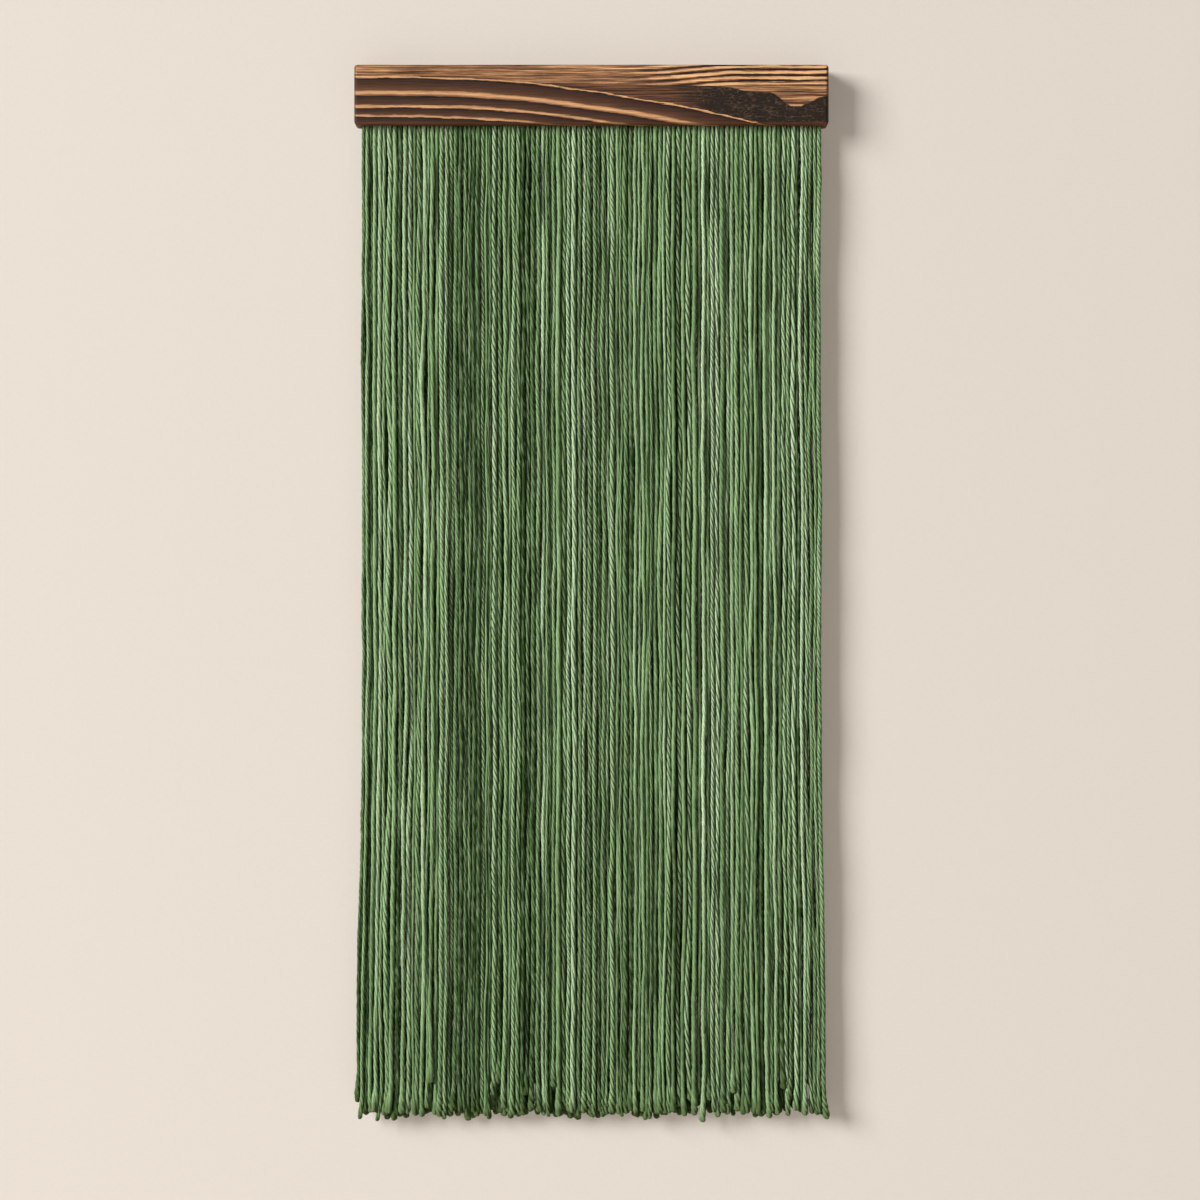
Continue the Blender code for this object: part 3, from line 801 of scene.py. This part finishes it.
def finish_nodes():
    """New materials on the CAD nodes that stay, by how their names start."""
    zinc = metal("zinc_steel", srgb(206, 208, 206), srgb(150, 153, 154), 0.26, (1800, 300, 1800))
    brass = metal("brass_nail", srgb(222, 188, 112), srgb(164, 128, 66), 0.24, (1500, 1500, 1500))
    finishes = {
        "bar": charred_pine(),
        "clamp_strip": raw_pine(),
        "clamp_screw": zinc,
        "sawtooth_hanger": zinc,
        "hanger_nail": brass,
    }
    for name, node in frame["nodes"].items():
        for start, finish in finishes.items():
            if name.startswith(start):
                for slot in node.material_slots:
                    slot.material = finish


# ---------------------------------------------------------------- camera, light, wall and floor


def aim(obj, target):
    obj.rotation_euler = (Vector(target) - obj.location).to_track_quat("-Z", "Y").to_euler()


def make_camera():
    low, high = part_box("bar")
    face_y = low[1]
    data = bpy.data.cameras.new("camera")
    data.lens = LENS_MM
    data.sensor_width = SENSOR_MM
    data.clip_end = CLIP_END
    camera = bpy.data.objects.new("camera", data)
    bpy.context.scene.collection.objects.link(camera)
    middle_x = (low[0] + high[0]) / 2 + VIEW_RIGHT
    middle_z = high[2] - VIEW_DOWN
    camera.location = (middle_x, face_y - VIEW_WIDTH * LENS_MM / SENSOR_MM, middle_z)
    aim(camera, (middle_x, face_y, middle_z))
    bpy.context.scene.camera = camera


def area_light(target, name, place, size, watts, color):
    data = bpy.data.lights.new(name, "AREA")
    data.shape = "SQUARE"
    data.size = size
    data.energy = watts
    data.color = color
    light = bpy.data.objects.new(name, data)
    light.location = place
    bpy.context.scene.collection.objects.link(light)
    aim(light, target)


def make_light():
    """A large soft light from the upper left, a weak fill, two lights for the back, and a dim even sky, in
    whose place the camera sees a pale backdrop."""
    middle = (0, 0, (cad_box[0][2] + cad_box[1][2]) / 2)
    for light in LIGHTS:
        area_light(middle, *light)
    world = bpy.data.worlds.new("studio")
    world.use_nodes = True
    nodes, links = world.node_tree.nodes, world.node_tree.links
    sky = nodes["Background"]
    sky.inputs["Color"].default_value = (*srgb(248, 242, 234), 1.0)
    sky.inputs["Strength"].default_value = SKY_STRENGTH
    backdrop = nodes.new("ShaderNodeBackground")
    backdrop.inputs["Color"].default_value = (*srgb(226, 221, 214), 1.0)
    choose = nodes.new("ShaderNodeMixShader")
    links.new(nodes.new("ShaderNodeLightPath").outputs["Is Camera Ray"], choose.inputs[0])
    links.new(sky.outputs[0], choose.inputs[1])
    links.new(backdrop.outputs[0], choose.inputs[2])
    links.new(choose.outputs[0], nodes["World Output"].inputs["Surface"])
    bpy.context.scene.world = world
    bpy.context.scene.view_settings.view_transform = "Standard"


def plane(name, corners, material):
    mesh = new_mesh(name, np.array(corners, float), np.array([[0, 1, 2, 3]]))
    made = shown(name, mesh, material)
    return made


def make_stage():
    """A pale wall behind the object, clear when seen from behind and glowing a little as painted light, and a
    pale floor far below.
    """
    s = Shader("pale_wall")
    grain = s.noise(s.place, 420.0, 3.0)
    s.bump(grain, 0.0003, 0.25)
    pale = s.mix(grain, srgb(176, 171, 165), srgb(182, 177, 171))
    # Painted light: the wall glows a little, for the studio's bounce that lightens the shadows on it
    s.put(s.surface.inputs["Emission Color"], srgb(255, 236, 216))
    s.finish(pale, 0.9, Specular_IOR_Level=0.2, Emission_Strength=WALL_GLOW)
    see = s.node("MixShader")
    s.put(see.inputs[0], s.node("NewGeometry").outputs["Backfacing"])
    s.put(see.inputs[1], s.surface.outputs[0])
    s.put(see.inputs[2], s.node("BsdfTransparent").outputs[0])
    s.put(s.tree.nodes["Material Output"].inputs["Surface"], see.outputs[0])
    half, top, ground = 2.2, 1.5, -1.3
    wall = plane("wall", [(-half, 0, ground), (half, 0, ground), (half, 0, top), (-half, 0, top)], s.material)
    wall.visible_diffuse = False
    wall.visible_shadow = False

    f = Shader("pale_floor")
    f.finish(f.mix(f.noise(f.place, 60.0), srgb(222, 216, 208), srgb(228, 222, 215)), 0.85)
    far = 3.5
    corners = [(-far, -far, ground), (far, -far, ground), (far, far, ground), (-far, far, ground)]
    plane("floor", corners, f.material)


def main():
    make_camera()
    make_fringe(green_cord())
    make_tape(woven_tape())
    felt = grey_felt()
    for node, seed in FELT_SEEDS.items():
        make_felt(node, seed, felt)
    finish_nodes()
    make_stage()
    make_light()


main()
